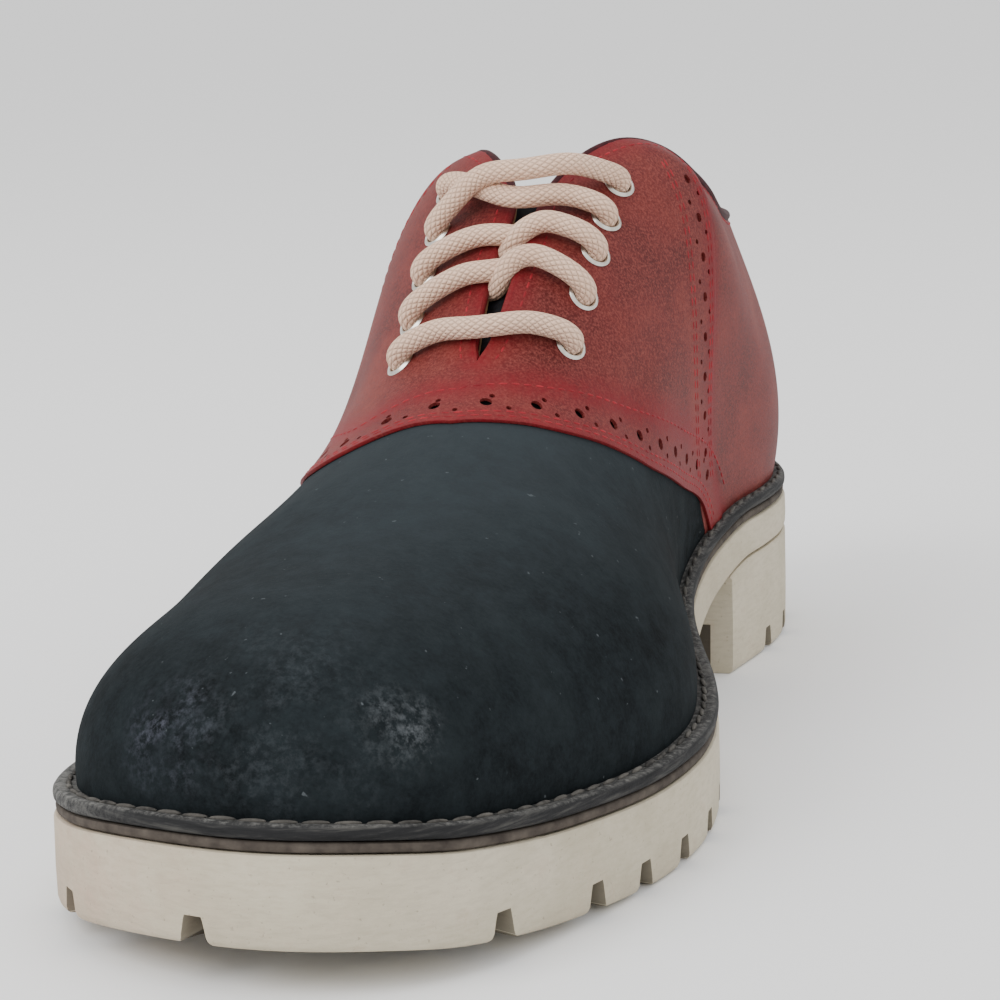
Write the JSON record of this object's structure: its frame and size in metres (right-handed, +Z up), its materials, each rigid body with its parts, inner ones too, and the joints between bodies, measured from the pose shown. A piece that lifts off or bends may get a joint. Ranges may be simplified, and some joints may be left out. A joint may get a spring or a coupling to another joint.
{
  "type": "saddle shoe",
  "caption": "Right laced saddle shoe with a plain rounded toe, contrasting saddle over the instep, hollow upper, stitched welt and a thick cleated sole with a separate heel.",
  "frame": {"origin": "on the ground, under the middle of the sole's outline", "axes": "+Z up from the ground, -Y towards the toe, +X towards the wearer's inner side"},
  "size_m": [0.1094, 0.303, 0.1207],
  "materials": {
    "cream_rubber": "matte",
    "taupe_rubber": "matte",
    "dark_welt": "matte",
    "tan_leather": "satin",
    "upper_leather": "satin",
    "dark_textile": "matte",
    "nickel": "polished",
    "cream_cord": "matte"
  },
  "bodies": {
    "root": {"outsole": "cream_rubber", "heel": "cream_rubber", "midsole": "taupe_rubber", "welt": "dark_welt", "insole": "tan_leather", "upper": "upper_leather", "tongue": "dark_textile", "eyelet_inner_1": "nickel", "eyelet_inner_2": "nickel", "eyelet_inner_3": "nickel", "eyelet_inner_4": "nickel", "eyelet_inner_5": "nickel", "eyelet_outer_1": "nickel", "eyelet_outer_2": "nickel", "eyelet_outer_3": "nickel", "eyelet_outer_4": "nickel", "eyelet_outer_5": "nickel", "lace_bar_1": "cream_cord", "lace_crossing_2": "cream_cord", "lace_crossing_3": "cream_cord", "lace_crossing_4": "cream_cord"}
  },
  "joints": []
}
